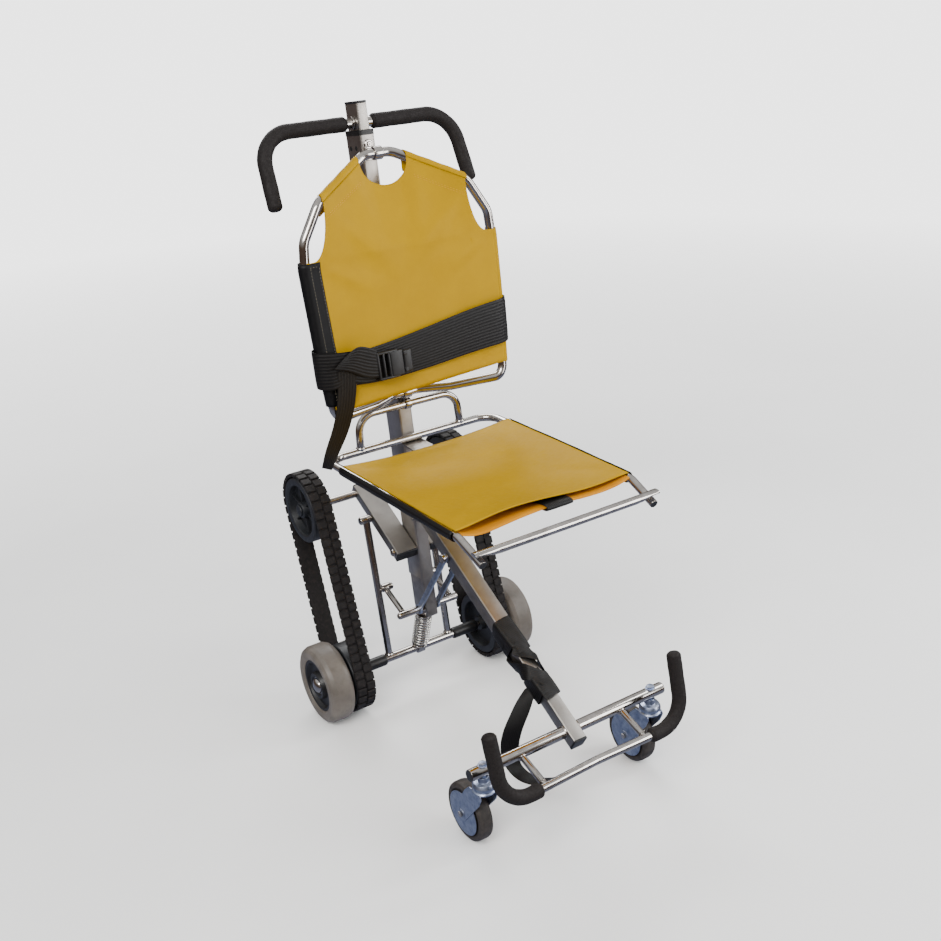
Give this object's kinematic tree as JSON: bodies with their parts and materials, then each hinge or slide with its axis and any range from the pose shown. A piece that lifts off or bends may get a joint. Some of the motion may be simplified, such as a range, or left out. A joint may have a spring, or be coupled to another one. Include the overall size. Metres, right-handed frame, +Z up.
{
  "type": "stair chair",
  "caption": "Folding wheeled chair with a sling seat and back, telescopic mast with push handle, braced front leg and rear belt tracks for moving a person down stairs.",
  "frame": {"origin": "on the ground, at the middle of the chair's width and length, 237.1 mm in front of the rear axle", "axes": "+X to the sitting person's left, which is the viewer's right from the front; -Y the way the chair faces; +Z up"},
  "size_m": [0.55, 0.8801, 1.3051],
  "materials": {
    "stainless_tube": "polished tube",
    "satin_extrusion": "satin",
    "zinc_plate": "bright zinc plate",
    "spring_wire": "bright drawn wire",
    "foam_grip": "fine closed-cell foam",
    "black_plastic": "satin moulded",
    "black_rubber": "matt",
    "grey_rubber": "satin",
    "black_webbing": "ribbed webbing",
    "yellow_vinyl": "coated cloth, soft gloss"
  },
  "bodies": {
    "frame": {"mast_outer_tube": "satin_extrusion", "mast_foot": "satin_extrusion", "mast_guide_bush": "black_plastic", "backrest_frame": "stainless_tube", "backrest_top_bracket": "stainless_tube", "backrest_bottom_bracket": "stainless_tube", "backrest_cover": "yellow_vinyl", "lap_belt_band": "black_webbing", "lap_belt_tail": "black_webbing", "buckle_body": "black_plastic", "seat_hinge_saddle": "stainless_tube", "leg_hinge_bracket": "satin_extrusion", "side_tube_left": "stainless_tube", "side_tube_right": "stainless_tube", "track_arm_left": "satin_extrusion", "track_arm_right": "satin_extrusion", "track_arm_bolt": "stainless_tube", "upper_cross_tube": "stainless_tube", "track_belt_left": "black_rubber", "track_belt_right": "black_rubber", "axle_tube": "stainless_tube", "rear_axle": "stainless_tube", "suspension_spring": "spring_wire", "spring_guide": "stainless_tube"},
    "handle_mast": {"mast_inner_tube": "satin_extrusion", "mast_cap": "black_plastic"},
    "push_handle": {"push_handle_bar": "stainless_tube", "handle_grip_left": "foam_grip", "handle_grip_right": "foam_grip"},
    "lock_button": {"mast_lock_button": "stainless_tube"},
    "seat": {"seat_frame": "stainless_tube", "seat_hoop": "stainless_tube", "seat_spine_plate": "satin_extrusion", "seat_sling": "yellow_vinyl"},
    "leg": {"leg_outer_tube": "satin_extrusion", "brace_pin": "stainless_tube"},
    "brace": {"brace_link_left": "zinc_plate", "brace_link_right": "zinc_plate", "cross_rod": "stainless_tube"},
    "lock_arms": {"lock_arm_left": "stainless_tube", "lock_arm_right": "stainless_tube"},
    "foot": {"leg_inner_tube": "satin_extrusion", "foot_frame": "stainless_tube", "foot_grip_left": "foam_grip", "foot_grip_right": "foam_grip", "leg_strap_wrap": "black_webbing", "leg_strap_tail": "black_webbing", "caster_mount_left": "zinc_plate", "caster_mount_right": "zinc_plate"},
    "fork_left": {"caster_fork_left": "zinc_plate"},
    "fork_right": {"caster_fork_right": "zinc_plate"},
    "front_wheel_left": {"caster_wheel_left": "grey_rubber"},
    "front_wheel_right": {"caster_wheel_right": "grey_rubber"},
    "back_wheel_left": {"rear_wheel_left": "grey_rubber"},
    "back_wheel_right": {"rear_wheel_right": "grey_rubber"},
    "pulley_upper_left": {"upper_pulley_left": "black_plastic"},
    "pulley_upper_right": {"upper_pulley_right": "black_plastic"},
    "pulley_lower_left": {"lower_pulley_left": "black_plastic"},
    "pulley_lower_right": {"lower_pulley_right": "black_plastic"},
    "clip": {"buckle_clip": "black_plastic"}
  },
  "joints": [
    {"name": "handle_extend", "type": "slide", "parent": "frame", "child": "handle_mast", "axis": [0, 0.1149, 0.9934], "range_m": [0, 0.2]},
    {"name": "handle_swing", "type": "hinge", "parent": "handle_mast", "child": "push_handle", "pos_m": [0, 0.31091, 1.262], "axis": [1, 0, 0], "range_deg": [0, 90]},
    {"name": "lock_button_press", "type": "slide", "parent": "frame", "child": "lock_button", "axis": [0, 0.9934, -0.1149], "range_m": [0, 0.003], "stiffness_N_per_m": 800, "springref_m": -0.001},
    {"name": "seat_fold", "type": "hinge", "parent": "frame", "child": "seat", "pos_m": [0, 0.2031, 0.706], "axis": [-1, 0, 0], "range_deg": [0, 60]},
    {"name": "leg_fold", "type": "hinge", "parent": "frame", "child": "leg", "pos_m": [0, 0.1615, 0.473], "axis": [1, 0, 0], "range_deg": [0, 45]},
    {"name": "brace_fold", "type": "hinge", "parent": "leg", "child": "brace", "pos_m": [0, 0.0501, 0.41], "axis": [1, 0, 0], "range_deg": [-67.6, 0]},
    {"name": "lock_arm_lift", "type": "hinge", "parent": "frame", "child": "lock_arms", "pos_m": [0, 0.2631, 0.258], "axis": [-1, 0, 0], "range_deg": [0, 60.1]},
    {"name": "leg_extend", "type": "slide", "parent": "leg", "child": "foot", "axis": [0, -0.8705, -0.4921], "range_m": [0, 0.08]},
    {"name": "caster_swivel_left", "type": "hinge", "parent": "foot", "child": "fork_left", "pos_m": [-0.203, -0.3419, 0.148], "axis": [0, 0, 1], "continuous": true},
    {"name": "caster_roll_left", "type": "hinge", "parent": "fork_left", "child": "front_wheel_left", "pos_m": [-0.203, -0.2879, 0.061], "axis": [1, 0, 0], "continuous": true},
    {"name": "rear_roll_left", "type": "hinge", "parent": "frame", "child": "back_wheel_left", "pos_m": [-0.242, 0.2371, 0.09], "axis": [1, 0, 0], "continuous": true},
    {"name": "upper_pulley_turn_left", "type": "hinge", "parent": "frame", "child": "pulley_upper_left", "pos_m": [-0.185, 0.3551, 0.462], "axis": [1, 0, 0], "continuous": true},
    {"name": "lower_pulley_turn_left", "type": "hinge", "parent": "frame", "child": "pulley_lower_left", "pos_m": [-0.185, 0.2371, 0.09], "axis": [1, 0, 0], "continuous": true},
    {"name": "caster_swivel_right", "type": "hinge", "parent": "foot", "child": "fork_right", "pos_m": [0.203, -0.3419, 0.148], "axis": [0, 0, 1], "continuous": true},
    {"name": "caster_roll_right", "type": "hinge", "parent": "fork_right", "child": "front_wheel_right", "pos_m": [0.203, -0.2879, 0.061], "axis": [1, 0, 0], "continuous": true},
    {"name": "rear_roll_right", "type": "hinge", "parent": "frame", "child": "back_wheel_right", "pos_m": [0.242, 0.2371, 0.09], "axis": [1, 0, 0], "continuous": true},
    {"name": "upper_pulley_turn_right", "type": "hinge", "parent": "frame", "child": "pulley_upper_right", "pos_m": [0.185, 0.3551, 0.462], "axis": [1, 0, 0], "continuous": true},
    {"name": "lower_pulley_turn_right", "type": "hinge", "parent": "frame", "child": "pulley_lower_right", "pos_m": [0.185, 0.2371, 0.09], "axis": [1, 0, 0], "continuous": true},
    {"name": "buckle_release", "type": "slide", "parent": "frame", "child": "clip", "axis": [1, 0, 0], "range_m": [0, 0.025]}
  ],
  "couplings": [
    {"joint": "brace_fold", "follows": "leg_fold", "ratio": -1.5},
    {"joint": "lock_arm_lift", "follows": "leg_fold", "ratio": 1.3333},
    {"joint": "lower_pulley_turn_left", "follows": "upper_pulley_turn_left", "ratio": 1},
    {"joint": "lower_pulley_turn_right", "follows": "upper_pulley_turn_right", "ratio": 1}
  ]
}
